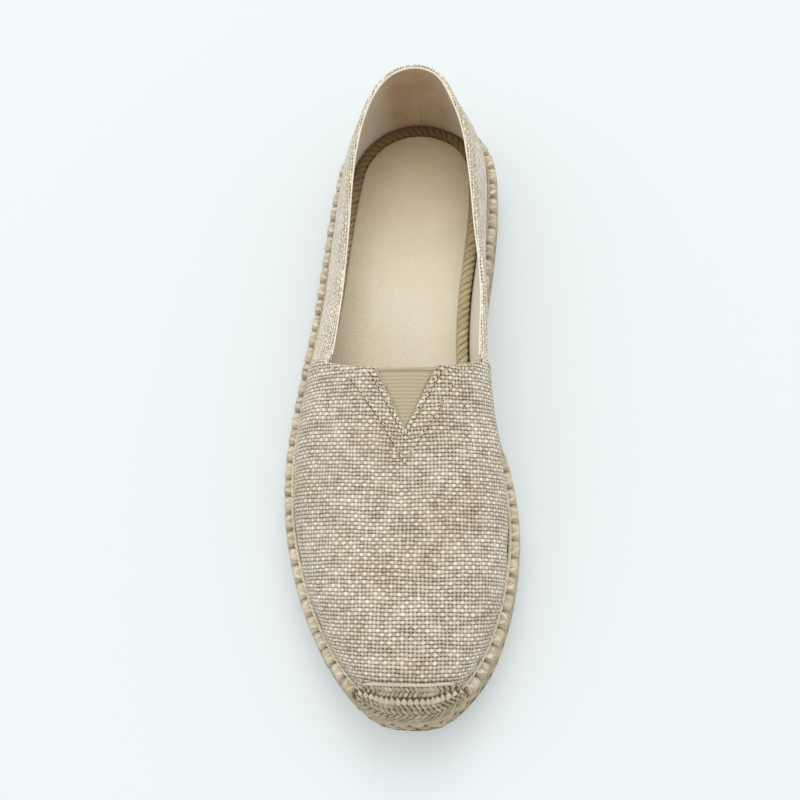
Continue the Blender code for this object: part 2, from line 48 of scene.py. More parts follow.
# Edge of the sole: place along the shoe, then the outer and the inner edge, in millimetres
TOE_TIP = (6.3, -131.0)
HEEL_TIP = (3.3, 131.0)
SOLE_EDGE = (
    (-128.9, -6.3, 18.5),
    (-123.7, -13.6, 24.8),
    (-112.9, -22.8, 33.3),
    (-91.7, -34.4, 41.7),
    (-74.9, -40.3, 45.0),
    (-57.9, -44.2, 46.2),
    (-30.9, -46.2, 42.7),
    (-8.9, -44.5, 35.8),
    (13.9, -41.3, 32.4),
    (39.3, -37.6, 32.5),
    (65.2, -35.0, 35.1),
    (92.0, -32.0, 36.6),
    (109.0, -28.5, 34.8),
    (121.0, -20.5, 27.9),
    (128.4, -9.5, 16.4),
)
LENGTH = 262.0 * MM
BALL_STACK = 18.0 * MM
HEEL_RISE = 2.0 * MM
TOE_SPRING = 5.0 * MM
ARCH_RISE = 1.4 * MM
RIM_STEP_DROP = 4.0 * MM
SPRING_SHARE, BALL_SHARE, WAIST_SHARE = 0.20, 0.42, 0.36
COIL_PITCH = 5.4 * MM
COIL_STEP = 6.4 * MM


def unit(vectors):
    """The same directions, one long."""
    return vectors / np.linalg.norm(vectors, axis=-1, keepdims=True)


def run_along(line):
    """Distance from a line's first point to each of its points."""
    return np.concatenate([[0.0], np.cumsum(np.linalg.norm(np.diff(line, axis=0), axis=1))])


def sampled(at, run, line):
    """Columns of a table at distances along it."""
    return np.stack([np.interp(at, run, column) for column in line.T], axis=-1)


def smooth_run(points, spacing, closed=False):
    """Evenly spaced points on a smooth curve through the given ones, which are in millimetres."""
    knots = np.array(points, dtype=float) * MM
    if closed:
        knots = np.vstack([knots[-1:], knots, knots[:2]])
    else:
        knots = np.vstack([2 * knots[:1] - knots[1:2], knots, 2 * knots[-1:] - knots[-2:-1]])
    chord = np.linalg.norm(np.diff(knots, axis=0), axis=1)[:, None]
    slope = np.diff(knots, axis=0) / chord
    lean = (slope[:-1] * chord[1:] + slope[1:] * chord[:-1]) / (chord[:-1] + chord[1:])
    t = np.linspace(0.0, 1.0, 24, endpoint=False)[:, None]
    dense = [
        knots[i + 1] * (2 * t**3 - 3 * t**2 + 1)
        + lean[i] * chord[i + 1] * (t**3 - 2 * t**2 + t)
        + knots[i + 2] * (3 * t**2 - 2 * t**3)
        + lean[i + 1] * chord[i + 1] * (t**3 - t**2)
        for i in range(len(knots) - 3)
    ]
    dense = np.vstack(dense + [knots[-2:-1]])
    run = run_along(dense)
    pieces = max(2, round(run[-1] / (spacing * MM)))
    even = sampled(np.linspace(0.0, run[-1], pieces + 1), run, dense)
    return even[:-1] if closed else even


edge_knots = [TOE_TIP] + [(outer, y) for y, outer, inner in SOLE_EDGE]
edge_knots += [HEEL_TIP] + [(inner, y) for y, outer, inner in reversed(SOLE_EDGE)]
EDGE = smooth_run(edge_knots, 1.0, closed=True)
EDGE = np.vstack([EDGE, EDGE[:1]])
EDGE_RUN = run_along(EDGE)
AROUND = EDGE_RUN[-1]
edge_slope = np.gradient(np.vstack([EDGE[-2], EDGE, EDGE[1]]), axis=0)[1:-1]
EDGE_IN = unit(np.stack([edge_slope[:, 1], -edge_slope[:, 0]], axis=1))


def edge_at(run, inset=0.0):
    """Points set in from the sole's edge, and the level direction into the shoe there."""
    run = run % AROUND
    inward = unit(sampled(run, EDGE_RUN, EDGE_IN))
    return sampled(run, EDGE_RUN, EDGE) + inward * inset, inward


def toe_lift(y):
    """How far toe spring lifts the sole."""
    share = y / LENGTH + 0.5
    return TOE_SPRING * np.maximum(0.0, 1.0 - share / SPRING_SHARE) ** 2


def past_ball(y):
    """0 at the ball and before it, 1 at the heel."""
    return np.clip((y / LENGTH + 0.5 - BALL_SHARE) / WAIST_SHARE, 0.0, 1.0)


def under_height(y):
    """Height of the sole's underside, lifted at the toe and a little at the waist."""
    return toe_lift(y) + ARCH_RISE * np.sin(np.pi * past_ball(y)) ** 2


def top_height(y):
    """Height of the sole's upper face: 18 mm at the ball, 20 mm at the heel."""
    heel = past_ball(y)
    return toe_lift(y) + BALL_STACK + HEEL_RISE * heel**2 * (3.0 - 2.0 * heel)


def tone(red, green, blue):
    """Colour for a shader from the 0 to 255 values that an eye or a screen gives."""
    parts = [c / 255.0 for c in (red, green, blue)]
    return tuple(c / 12.92 if c < 0.04 else ((c + 0.055) / 1.055) ** 2.4 for c in parts) + (1.0,)


class Value:
    """A value in a shader: each sign of a sum written with it makes one Math node."""

    def __init__(self, socket):
        self.socket = socket

    def __add__(self, other):
        return maths("ADD", self, other)

    def __sub__(self, other):
        return maths("SUBTRACT", self, other)

    def __mul__(self, other):
        return maths("MULTIPLY", self, other)

    def __truediv__(self, other):
        return maths("DIVIDE", self, other)

    def __pow__(self, other):
        return maths("POWER", self, other)

    def __abs__(self):
        return maths("ABSOLUTE", self)


def wire(kind, *terms, tree=None, out=0, **settings):
    """One shader node with its inputs filled in order; gives one of its outputs."""
    tree = tree or next(t.socket.id_data for t in terms if isinstance(t, Value))
    node = tree.nodes.new("ShaderNode" + kind)
    for name, value in settings.items():
        setattr(node, name, value)
    for socket, term in zip(node.inputs, terms):
        fill(socket, term)
    return Value(node.outputs[out])


def fill(socket, term):
    """Links a node's output to a socket, or sets the socket's own value."""
    if isinstance(term, Value):
        socket.id_data.links.new(term.socket, socket)
    elif term is not None:
        socket.default_value = term


def maths(operation, *terms, clamp=False):
    """One Math node."""
    return wire("Math", *terms, operation=operation, use_clamp=clamp)


def vectors(operation, *terms):
    """One Vector Math node."""
    return wire("VectorMath", *terms, operation=operation)


def mixed(share, one, two, way="MIX"):
    """Mix of two colours by a share."""
    return wire("Mix", share, *[None] * 5, one, two, out=2, data_type="RGBA", blend_type=way)


def ranged(value, low, high, one=0.0, two=1.0):
    """A value brought from one range to another and held inside it."""
    return wire("MapRange", value, low, high, one, two)


def noise(where, scale, detail, roughness=0.5, out=0):
    """Soft noise, as a number, or as a colour with out=1."""
    return wire("TexNoise", where, None, scale, detail, roughness, out=out)


def split(vector):
    """The three parts of a vector."""
    return [Value(part) for part in wire("SeparateXYZ", vector).socket.node.outputs]


def own_place(tree):
    """Place in the shoe, in metres."""
    return wire("TexCoord", tree=tree, out=3)


def cut_place(tree):
    """Place on the piece's UV map, in metres."""
    return wire("UVMap", tree=tree, uv_map="UVMap")


def stored(tree, name):
    """A number stored at the piece's vertices."""
    return wire("Attribute", tree=tree, attribute_name=name, out=2)


def new_group(name, inputs, outputs):
    """An empty shader group: its tree, the values it is given and the sockets of its results."""
    tree = bpy.data.node_groups.new(name, "ShaderNodeTree")
    for way, rows in (("INPUT", inputs), ("OUTPUT", outputs)):
        for title, kind in rows:
            tree.interface.new_socket(name=title, in_out=way, socket_type="NodeSocket" + kind)
    given = {s.name: Value(s) for s in tree.nodes.new("NodeGroupInput").outputs}
    return tree, given, tree.nodes.new("NodeGroupOutput").inputs


def use_group(tree, group, **terms):
    """One use of a group in a material; gives its results by name."""
    node = tree.nodes.new("ShaderNodeGroup")
    node.node_tree = group
    for name, term in terms.items():
        fill(node.inputs[name], term)
    return {s.name: Value(s) for s in node.outputs}


def new_finish(name, roughness, sheen=0.0):
    """A material with its shader; gives the material, its tree and the shader."""
    finish = bpy.data.materials.new(name)
    finish.use_nodes = True
    shader = finish.node_tree.nodes["Principled BSDF"]
    shader.inputs["Roughness"].default_value = roughness
    shader.inputs["Sheen Weight"].default_value = sheen
    shader.inputs["Sheen Roughness"].default_value = 0.6
    shader.inputs["Specular IOR Level"].default_value = 0.25
    return finish, finish.node_tree, shader


def cover(shader, colour, height=None, distance=None):
    """Gives a shader its colour, and its relief from a height that is so many metres deep."""
    fill(shader.inputs["Base Color"], colour)
    if height is not None:
        fill(shader.inputs["Normal"], wire("Bump", 1.0, distance, None, height))


# Jute fibre: fine streaks along each strand, with pale and dark hairs among them
fibre, given, result = new_group(
    "jute_fibre",
    [("Along", "Vector"), ("Tint", "Float"), ("Dark", "Color"), ("Light", "Color")],
    [("Colour", "Color"), ("Height", "Float")],
)
hair = noise(vectors("MULTIPLY", given["Along"], (260.0, 5200.0, 1.0)), 1.0, 2.0, 0.6)
bundle = noise(vectors("MULTIPLY", given["Along"], (120.0, 1500.0, 1.0)), 1.0, 3.0)
streak = ranged(hair * 0.62 + bundle * 0.38, 0.36, 0.64)
fill(result["Colour"], mixed(streak * 0.62 + given["Tint"] * 0.38, given["Dark"], given["Light"]))
fill(result["Height"], streak)


def jute_finish(name, dark, light, depth=0.10 * MM):
    """Bare jute with its fibres along the strands; reads the piece's UV map and its tint."""
    finish, tree, shader = new_finish(name, 0.92, sheen=0.15)
    strand = use_group(tree, fibre, Along=cut_place(tree), Tint=stored(tree, "tint"), Dark=dark, Light=light)
    cover(shader, strand["Colour"], strand["Height"], depth)
    return finish


def copy_of(node, name, cuts=0):
    """A copy of a CAD solid's mesh with its loose corners merged, which stands for that solid."""
    piece = bpy.data.objects.new(name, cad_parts[node].data.copy())
    piece.data.name = name
    piece.data.materials.clear()
    bpy.context.scene.collection.objects.link(piece)
    bpy.ops.object.select_all(action="DESELECT")
    bpy.context.view_layer.objects.active = piece
    piece.select_set(True)
    bpy.ops.object.mode_set(mode="EDIT")
    bpy.ops.mesh.select_all(action="SELECT")
    bpy.ops.mesh.remove_doubles(threshold=0.01 * MM)
    bpy.ops.mesh.tris_convert_to_quads(face_threshold=math.radians(40), shape_threshold=math.radians(60))
    if cuts:
        bpy.ops.mesh.subdivide(number_cuts=cuts)
    bpy.ops.object.mode_set(mode="OBJECT")
    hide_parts(node)
    return piece


def seat(piece, slot, *finishes):
    """Gives a finished piece its materials and its place in the shoe."""
    for finish in finishes:
        piece.data.materials.append(finish)
    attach(piece, "root")


def uv_map(mesh, values):
    """Writes a UV map in metres, one pair for each face corner."""
    layer = mesh.uv_layers.new(name="UVMap")
    layer.data.foreach_set("uv", np.asarray(values, dtype=np.float32).ravel())


core = copy_of("rope_sole", "rope_core", cuts=3)
corners = np.array([core.data.vertices[loop.vertex_index].co for loop in core.data.loops])
gap = np.linalg.norm(corners[:, None, :2] - EDGE[None, ::3], axis=2)
uv_map(core.data, np.stack([EDGE_RUN[::3][gap.argmin(axis=1)], gap.min(axis=1)], axis=1))
core.data.shade_smooth()

coil, tree, shader = new_finish("rope_coil", 0.95)
along = cut_place(tree)
run, inset, _ = split(along)
row = inset / COIL_PITCH
rise = abs(maths("SINE", row * math.pi))
plait = abs(maths("SINE", (run / COIL_STEP + row * 0.8) * math.pi))
height = rise**0.5 * (plait * 0.45 + 0.55)
strand = use_group(tree, fibre, Along=along, Tint=height, Dark=tone(92, 72, 46), Light=tone(196, 176, 140))
shaded = mixed(maths("MULTIPLY", height, 1.3, clamp=True), tone(58, 42, 25), strand["Colour"])
cover(shader, shaded, height + strand["Height"] * 0.1, 1.2 * MM)
seat(core, "sole_rope", coil)

# Plaits round the sole's side
# Three turns of the coil's plait, one above the other. Each strand shows as a slanted lump,
# up in one line and down in the next, so a turn reads as a row of arrows.

PLAIT_ROWS = 3
LUMP_PITCH = 6.2 * MM
LUMP_SIZE = (7.3 * MM, 2.8 * MM, 2.2 * MM)
LUMP_SLANT = 34.0
LUMP_INSET = 0.75 * MM
SIDE_FOOT = 1.7 * MM


def model_lump(taper=0.25, square=(1.0, 1.0, 1.0), segments=10, rings=8, point=0.0):
    """A rounded lump of strand, one long, one wide and one thick, as points, faces and UVs along it."""
    bpy.ops.mesh.primitive_uv_sphere_add(segments=segments, ring_count=rings, radius=0.5, location=(0, 0, 0))
    ball = bpy.context.object
    bpy.ops.object.mode_set(mode="EDIT")
    bpy.ops.transform.rotate(value=math.radians(90), orient_axis="Y", center_override=(0.0, 0.0, 0.0))
    bpy.ops.object.mode_set(mode="OBJECT")
    mesh = ball.data
    points = np.array([v.co for v in mesh.vertices])
    points = np.sign(points) * np.abs(2.0 * points) ** np.array(square) / 2.0
    full = (1.0 - taper) + taper * (1.0 - (2.0 * np.abs(points[:, 0])) ** 2)
    points[:, 1:] *= (full * (1.0 - point * (points[:, 0] + 0.5)))[:, None]
    faces = [tuple(p.vertices) for p in mesh.polygons]
    uvs = np.array([mesh.uv_layers.active.data[i].uv for i in range(len(mesh.loops))])
    bpy.data.objects.remove(ball)
    return points, faces, uvs[:, ::-1]


def store(mesh, name, values):
    """Stores one number at each vertex, for a material to read."""
    spots = mesh.attributes.new(name, "FLOAT", "POINT").data
    spots.foreach_set("value", np.asarray(values, dtype=np.float32).ravel())


def new_piece(name, points, faces, uvs):
    """A smooth object from points, faces and one UV pair for each face corner."""
    mesh = bpy.data.meshes.new(name)
    mesh.from_pydata(points.reshape(-1, 3).tolist(), [], faces)
    uv_map(mesh, uvs)
    mesh.shade_smooth()
    piece = bpy.data.objects.new(name, mesh)
    bpy.context.scene.collection.objects.link(piece)
    return piece


def lay_lumps(name, lump, centres, axes, sizes, seed, vary=0.07, crosswise=False):
    """Copies of one lump as one mesh: axes hold each copy's length, width and thickness directions."""
    points, faces, uvs = lump
    rng = np.random.default_rng(seed)
    count = len(centres)
    sizes = np.broadcast_to(sizes, (count, 3)) * rng.uniform(1.0 - vary, 1.0 + vary, (count, 3))
    placed = centres[:, None] + np.einsum("nk,nkc,mk->nmc", sizes, axes, points)
    many = [tuple(i + n * len(points) for i in face) for n in range(count) for face in faces]
    skewed = uvs + np.stack([np.zeros(len(uvs)), uvs[:, 0] * 0.15], axis=1)
    girth = 0.5 * (sizes[:, 1] + sizes[:, 2]) * math.pi
    along = skewed[None] * np.stack([sizes[:, 0], girth], axis=1)[:, None]
    along = along + rng.uniform(0.0, 0.3, (count, 1, 2))
    piece = new_piece(name, placed, many, along[..., ::-1] if crosswise else along)
    store(piece.data, "tint", np.repeat(rng.uniform(0.0, 1.0, count), len(points)))
    if np.linalg.det(axes[0]) < 0.0:
        piece.data.flip_normals()
    return piece


def turned(one, two, angle):
    """A direction turned from one towards another."""
    angle = np.asarray(angle)[..., None]
    return one * np.cos(angle) + two * np.sin(angle)


def frames(length, up):
    """Length, width and thickness directions from the first and the last of them."""
    return np.stack([length, np.cross(up, length), up], axis=1)


def level(inward):
    """Level directions with their third part, which is nothing."""
    return np.column_stack([inward, np.zeros(len(inward))])


def edge_way(runs, inward, y):
    """Direction along the sole's edge, which climbs with the sole's upper face."""
    reach = 2 * MM
    slope = (top_height(edge_at(runs + reach)[0][:, 1]) - top_height(y)) / reach
    return unit(np.column_stack([-inward[:, 1], inward[:, 0], slope]))


lump = model_lump()
count = round(AROUND / LUMP_PITCH)
centres, axes = [], []
for row in range(PLAIT_ROWS):
    for half in (-1.0, 1.0):
        at = np.arange(count) * AROUND / count + (0.25 * half + 0.37 * row) * LUMP_PITCH
        y = edge_at(at)[0][:, 1]
        low = under_height(y) + SIDE_FOOT
        each = (top_height(y) - RIM_STEP_DROP - low) / PLAIT_ROWS
        tucked = 0.5 * MM if row == 0 and half < 0 else 0.0
        centre, inward = edge_at(at, LUMP_INSET + tucked)
        centres.append(np.column_stack([centre, low + each * (row + 0.5 + 0.24 * half)]))
        forward, out = edge_way(at, inward, y), -level(inward)
        turn = math.radians(-LUMP_SLANT * half)
        axes.append(frames(turned(forward, np.cross(out, forward), turn), out))
side_jute = jute_finish("side_jute", tone(126, 104, 74), tone(222, 204, 172))
plaits = lay_lumps("side_plaits", lump, np.vstack(centres), np.vstack(axes), LUMP_SIZE, seed=3)
seat(plaits, "sole_rope", side_jute)

# Rim
# The last turn of plait is sewn round the step of the sole's top, outside the cloth.
# From above it reads as a row of rounded pads with dark seams between them.

PAD_PITCH = 7.2 * MM
PAD_WIDTH, PAD_THICK = 3.8 * MM, 4.6 * MM
PAD_INSET = 1.85 * MM
PAD_SINK = 1.55 * MM
BUMPER_HALF = 25.3 * MM

pad = model_lump(taper=0.04, square=(0.5, 0.5, 0.85), segments=16, rings=12)
start, end = BUMPER_HALF, AROUND - BUMPER_HALF
count = round((end - start) / PAD_PITCH)
pitch = (end - start) / count
runs = start + (np.arange(count) + 0.5) * pitch
centre, inward = edge_at(runs, PAD_INSET)
spot = np.column_stack([centre, top_height(centre[:, 1]) - PAD_SINK])
lean = np.radians(np.random.default_rng(5).uniform(-1.0, 5.0, count))
forward = edge_way(runs, inward, centre[:, 1])
across = level(inward)
up = np.cross(forward, across)
up *= np.sign(up[:, 2:])
pads = lay_lumps(
    "rim_pads", pad, spot, frames(turned(forward, across, lean), up),
    np.array([pitch, PAD_WIDTH, PAD_THICK]), seed=7, vary=0.02, crosswise=True,
)
rim_jute = jute_finish("rim_jute", tone(138, 119, 90), tone(234, 221, 195), depth=0.16 * MM)
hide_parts("rim_braid")
seat(pads, "rim_braid", rim_jute)

# Loops of the rim
# Each pad is crossed by two loops of the same plait, painted paler as a highlight.
# They are drawn tight over it where the rim is sewn down.

LOOP_SIZE = (3.3 * MM, 1.7 * MM, 1.1 * MM)

spots, ways = [], []
for side in (-1.0, 1.0):
    slant = np.radians(np.random.default_rng(int(20 + side)).uniform(12.0, 34.0, count)) * side
    spots.append(spot + forward * 0.2 * side * pitch + up * 2.0 * MM)
    ways.append(frames(turned(across, forward, slant), up))
loops = lay_lumps(
    "rim_loops", model_lump(taper=0.2), np.vstack(spots), np.vstack(ways), LOOP_SIZE, seed=23, vary=0.14
)
# The loops' jute is the rim's jute painted paler: a painted highlight.
loop_jute = jute_finish("loop_jute", tone(180, 164, 137), tone(246, 237, 215))
seat(loops, "rim_braid", loop_jute)

# Rim's under cord
# A thin twisted jute cord closes the joint between the rim and the plaits of the side.
# It lies in the groove below the pads and is caught by the same stitches.


def lay_rope(name, route, inward, width, height, strands, pitch, sides=12, groove=0.2, closed=True, hand=1.0):
    """Twisted rope along a route: its strands turn once round it in each pitch."""
    count = len(route)
    ahead = np.roll(route, -1, axis=0) - np.roll(route, 1, axis=0)
    if not closed:
        ahead[0], ahead[-1] = route[1] - route[0], route[-1] - route[-2]
    ahead = unit(ahead)
    side = np.asarray(inward, dtype=float)
    side = unit(side - ahead * np.sum(side * ahead, axis=1)[:, None])
    up = np.cross(side, ahead)
    up *= np.sign(np.median(up[:, 2]))
    run = run_along(np.vstack([route, route[:1]]))
    total = run[-1] if closed else run[-2]
    turns = max(1, round(total / pitch * strands)) / strands
    twist = hand * 2 * math.pi * turns * run / total
    angle = 2 * math.pi * np.arange(sides) / sides
    lobe = np.abs(np.cos(strands * (angle[None] - twist[:count, None]) / 2)) ** 0.7
    reach = 1.0 - groove * (1.0 - lobe)
    points = (
        route[:, None]
        + side[:, None] * (reach * np.cos(angle) * width / 2)[..., None]
        + up[:, None] * (reach * np.sin(angle) * height / 2)[..., None]
    )
    faces, uvs = [], []
    turn = 2 * math.pi / sides
    for k in range(count if closed else count - 1):
        one, two = k * sides, (k + 1) % count * sides
        for j in range(sides):
            i = (j + 1) % sides
            faces.append((one + j, one + i, two + i, two + j))
            for ring, step in ((k, j), (k, j + 1), (k + 1, j + 1), (k + 1, j)):
                uvs.append((run[ring], (step * turn - twist[ring]) * width / 2))
    if not closed:
        for ring, order in ((0, -1), (count - 1, 1)):
            faces.append(tuple(ring * sides + j for j in range(sides))[::order])
            uvs += [(0.0, 0.0)] * sides
    piece = new_piece(name, points, faces, uvs)
    mesh = piece.data
    spots = np.arange(0.0, total + 20 * MM, 9 * MM)
    patch = np.interp(run[:count], spots, np.random.default_rng(count).uniform(0.0, 1.0, len(spots)))
    # Each strand's crown gets a higher tint, so it is painted lighter as a highlight; the groove value tells
    # a finish where to paint shade between the strands.
    store(mesh, "tint", 0.6 * patch[:, None] + 0.4 * lobe)
    store(mesh, "groove", lobe)
    solid = bmesh.new()
    solid.from_mesh(mesh)
    if solid.calc_volume(signed=True) < 0.0:
        bmesh.ops.reverse_faces(solid, faces=solid.faces[:])
    solid.to_mesh(mesh)
    solid.free()
    return piece


def edge_rope(name, runs, inset, above, **settings):
    """Rope along the sole's edge, set in from it and above the sole's upper face."""
    route, inward = edge_at(runs, inset)
    route = np.column_stack([route, top_height(route[:, 1]) + above])
    return lay_rope(name, route, level(inward), **settings)


under_cord = edge_rope(
    "under_cord", np.arange(0.0, AROUND, 0.8 * MM), inset=0.8 * MM, above=-RIM_STEP_DROP - 0.1 * MM,
    width=2.3 * MM, height=1.7 * MM, strands=2, pitch=6.0 * MM, sides=9,
)
seat(under_cord, "sole_rope", side_jute)

# Toe bumper
# Flat-braided jute over the toe tip, sewn on the vamp: a pale cord along its top, a band of close
# strands, a row of pale teeth where they turn, strands that cross below, and rope along its foot.

BUMPER_COLUMNS = np.linspace(-24.6, 24.6, 42) * MM
ROW_SHARES = np.linspace(0.0, 1.0, 17)
ROW_HALF = 23.5

bumper_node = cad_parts["toe_bumper"]
bumper_tree = BVHTree.FromPolygons(
    [v.co for v in bumper_node.data.vertices], [p.vertices for p in bumper_node.data.polygons]
)


def bumper_face():
    """Grid of points and normals on the bumper's outer face: from one end to the other, foot to top."""
    grid, normals = [], []
    for t in BUMPER_COLUMNS:
        point, inward = edge_at(t)
        inside = Vector((*(point + inward * 16 * MM), float(top_height(point[1])) - 5 * MM))
        hits, faces = [], []
        for turn in np.radians(np.linspace(-6.0, 86.0, 185)):
            way = Vector((*(-inward * math.cos(turn)), math.sin(turn)))
            place, normal, _, _ = bumper_tree.ray_cast(inside + way * 0.05, -way)
            if place is not None and normal.dot(way) > 0.25 and (place - inside).length > 5 * MM:
                hits.append(place)
                faces.append(normal)
        hits = np.array(hits)
        run = run_along(hits)
        grid.append(sampled(ROW_SHARES * run[-1], run, hits))
        normals.append(unit(sampled(ROW_SHARES * run[-1], run, np.array(faces))))
    return np.array(grid), np.array(normals)


bumper_grid, bumper_normals = bumper_face()
BUMPER_TALL = np.linalg.norm(np.diff(bumper_grid, axis=1), axis=2).sum(axis=1)
BUMPER_TALL /= BUMPER_TALL.max()


def on_bumper(t, share, grid):
    """Value of a grid over the bumper at a distance from its middle and a share of its height."""
    x = np.clip(np.interp(t, BUMPER_COLUMNS, np.arange(len(BUMPER_COLUMNS))), 0, len(BUMPER_COLUMNS) - 1.001)
    y = np.clip(np.interp(share, ROW_SHARES, np.arange(len(ROW_SHARES))), 0, len(ROW_SHARES) - 1.001)
    i, j = x.astype(int), y.astype(int)
    a, b = (x - i)[:, None], (y - j)[:, None]
    return (
        (grid[i, j] * (1 - a) + grid[i + 1, j] * a) * (1 - b)
        + (grid[i, j + 1] * (1 - a) + grid[i + 1, j + 1] * a) * b
    )


def bumper_places(pitch, share, turn, start, size):
    """Centres, directions and sizes of a row of strands on the bumper, turned in its face by an angle."""
    t = np.arange((start - ROW_HALF) * MM, ROW_HALF * MM, pitch)
    shares = np.full(len(t), share)
    normal = unit(on_bumper(t, shares, bumper_normals))
    ahead = on_bumper(t + 0.5 * MM, shares, bumper_grid) - on_bumper(t - 0.5 * MM, shares, bumper_grid)
    ahead = unit(ahead - normal * np.sum(ahead * normal, axis=1)[:, None])
    up = np.cross(normal, ahead)
    up *= np.sign(up[:, 2:])
    tall = np.interp(t, BUMPER_COLUMNS, BUMPER_TALL)[:, None]
    sizes = np.array(size) * MM * tall ** np.array([1.0, 0.4, 0.4])
    centre = on_bumper(t, shares, bumper_grid) + normal * 0.15 * MM
    return centre, frames(turned(ahead, up, math.radians(turn)), normal), sizes


def eased(route, reach):
    """A route with each point averaged with its neighbours."""
    window = np.ones(2 * reach + 1) / (2 * reach + 1)
    rows = [np.convolve(np.pad(row, reach, mode="edge"), window, mode="valid") for row in route.T]
    return np.stack(rows, axis=1)


bumper_jute = jute_finish("bumper_jute", tone(124, 108, 80), tone(222, 208, 178), depth=0.12 * MM)
tooth_jute = jute_finish("tooth_jute", tone(170, 158, 128), tone(234, 224, 196))
strand = model_lump(taper=0.4)
tooth = model_lump(taper=0.2, point=0.8)
# Rows of strands: name, form, pitch, share of the height, slant, start, size in millimetres, finish
rows = (
    ("upper_strands", strand, 2.0, 0.925, 48.0, 0.0, (2.9, 1.5, 1.1), bumper_jute),
    ("turned_strands", strand, 2.0, 0.835, -52.0, 0.6, (2.6, 1.4, 1.0), bumper_jute),
    ("teeth", tooth, 2.5, 0.70, 86.0, 0.4, (3.3, 3.7, 2.3), tooth_jute),
    ("lower_strands", strand, 2.2, 0.585, 46.0, 0.0, (3.9, 1.45, 1.5), bumper_jute),
    ("next_strands", strand, 2.2, 0.465, 46.0, 1.0, (4.1, 1.45, 1.5), bumper_jute),
    ("cross_strands", strand, 2.5, 0.34, -40.0, 0.3, (4.6, 1.5, 1.5), bumper_jute),
    ("foot_strands", strand, 2.7, 0.215, -34.0, 1.3, (5.0, 1.6, 1.5), bumper_jute),
)
for name, shape, pitch, share, turn, start, size, finish in rows:
    centres, axes, sizes = bumper_places(pitch * MM, share, turn, start, size)
    band = lay_lumps(name, shape, centres, axes, sizes, seed=11 + len(name), vary=0.12)
    seat(band, "bumper_braid", finish)

# Cords: name, share of the height, width, thickness, finish, lift, shift upward, turn in millimetres
cord_rows = (
    ("bumper_top_cord", 1.0, 1.35, 1.35, tooth_jute, -0.25, 0.15, 3.4),
    ("bumper_foot_rope", 0.09, 2.0, 1.7, bumper_jute, 0.2, 0.0, 5.0),
)
for name, share, width, thick, finish, lift, above, turn_length in cord_rows:
    t = np.arange(-24.3 * MM, 24.31 * MM, 0.45 * MM)
    shares = np.full(len(t), share)
    normal = on_bumper(t, shares, bumper_normals)
    middle = on_bumper(t, shares, bumper_grid)
    upward = unit(middle - on_bumper(t, shares - 0.08, bumper_grid))
    route = eased(middle + (normal * lift + upward * above) * MM, 4)
    cord = lay_rope(name, route, normal, thick * MM, width * MM, 2, turn_length * MM, sides=9, closed=False)
    seat(cord, "bumper_braid", finish)

# The bumper's core shows only in the gaps between its strands; its dark colour is painted shade there.
core_shade, tree, shader = new_finish("bumper_backing", 0.95)
grain = noise(own_place(tree), 900.0, 3.0, 0.6)
cover(shader, mixed(grain, tone(72, 58, 38), tone(128, 112, 82)), grain, 0.2 * MM)
bumper_node.data.materials.clear()
bumper_node.data.materials.append(core_shade)

# Insole
# Canvas twill over thin board, laid in the shoe on the rope sole. It dishes a little under
# heel and ball where a foot has pressed it.

# Dishes under heel and ball, in millimetres: across, along, half width, half length, depth
DISHES = ((3.0, 84.0, 16.0, 26.0, 1.0), (0.0, -52.0, 24.0, 30.0, 0.9))
TWILL_PITCH, TWILL_CROSS = 0.78 * MM, 0.70 * MM

insole = copy_of("insole", "insole_sheet", cuts=2)
places = np.array([v.co for v in insole.data.vertices])
face_up = places[:, 2] > top_height(places[:, 1]) + 1.5 * MM
for across, along, half_width, half_length, depth in DISHES:
    sideways = (places[:, 0] - across * MM) / (half_width * MM)
    lengthways = (places[:, 1] - along * MM) / (half_length * MM)
    places[:, 2] -= face_up * depth * MM * np.exp(-(sideways**2) - lengthways**2)
insole.data.vertices.foreach_set("co", places.ravel())
insole.data.shade_smooth()

twill, tree, shader = new_finish("cream_twill", 0.9, sheen=0.2)
where = own_place(tree)
wobble = noise(where, 300.0, 2.0, out=1)
x, y, _ = split(vectors("ADD", where, vectors("MULTIPLY", wobble, (0.0004, 0.0004, 0.0))))
rib = maths("SINE", (x * 0.84 + y * 0.54) * (2 * math.pi / TWILL_PITCH))
cross = maths("SINE", (x * 0.54 - y * 0.84) * (2 * math.pi / TWILL_CROSS))
height = rib * 0.38 + cross * 0.12 + 0.5
shade = ranged(noise(where, 38.0, 3.0, 0.55), 0.35, 0.65)
base = mixed(shade, tone(238, 229, 208), tone(248, 241, 224))
# The twill's grooves are coloured darker than its ribs: painted shade.
ribbed = mixed(ranged(height, 0.0, 1.0), tone(214, 198, 170), base)
# Browner towards the heel.
browner_to_heel = mixed(ranged(y, 0.055, 0.118, 0.0, 0.64), ribbed, tone(182, 148, 106))
speck = ranged(wire("TexVoronoi", where, None, 160.0), 0.035, 0.075, 1.0, 0.0)
rare = ranged(noise(where, 70.0, 1.0), 0.62, 0.66, 0.0, 0.7)
cover(shader, mixed(speck * rare, browner_to_heel, tone(120, 94, 62)), height, 0.16 * MM)
seat(insole, "insole_twill", twill)

# Rope round the insole
# The sole's innermost visible turn: a soft three-strand jute rope between the insole and the
# lining, pale at the waist and darker at the heel, where its dark tone is painted shade.


def two_tone_jute(name, roughness, sheen, fore, aft, change, groove, groove_shade, depth):
    """Jute of one tone towards the toe and another towards the heel, with painted shade between its strands.
    """
    finish, tree, shader = new_finish(name, roughness, sheen)
    along, tint = cut_place(tree), stored(tree, "tint")
    front = use_group(tree, fibre, Along=along, Tint=tint, Dark=fore[0], Light=fore[1])
    back = use_group(tree, fibre, Along=along, Tint=tint, Dark=aft[0], Light=aft[1])
    strands = mixed(ranged(split(own_place(tree))[1], *change), front["Colour"], back["Colour"])
    cover(shader, mixed(ranged(stored(tree, "groove"), *groove), groove_shade, strands), front["Height"], depth)
    return finish


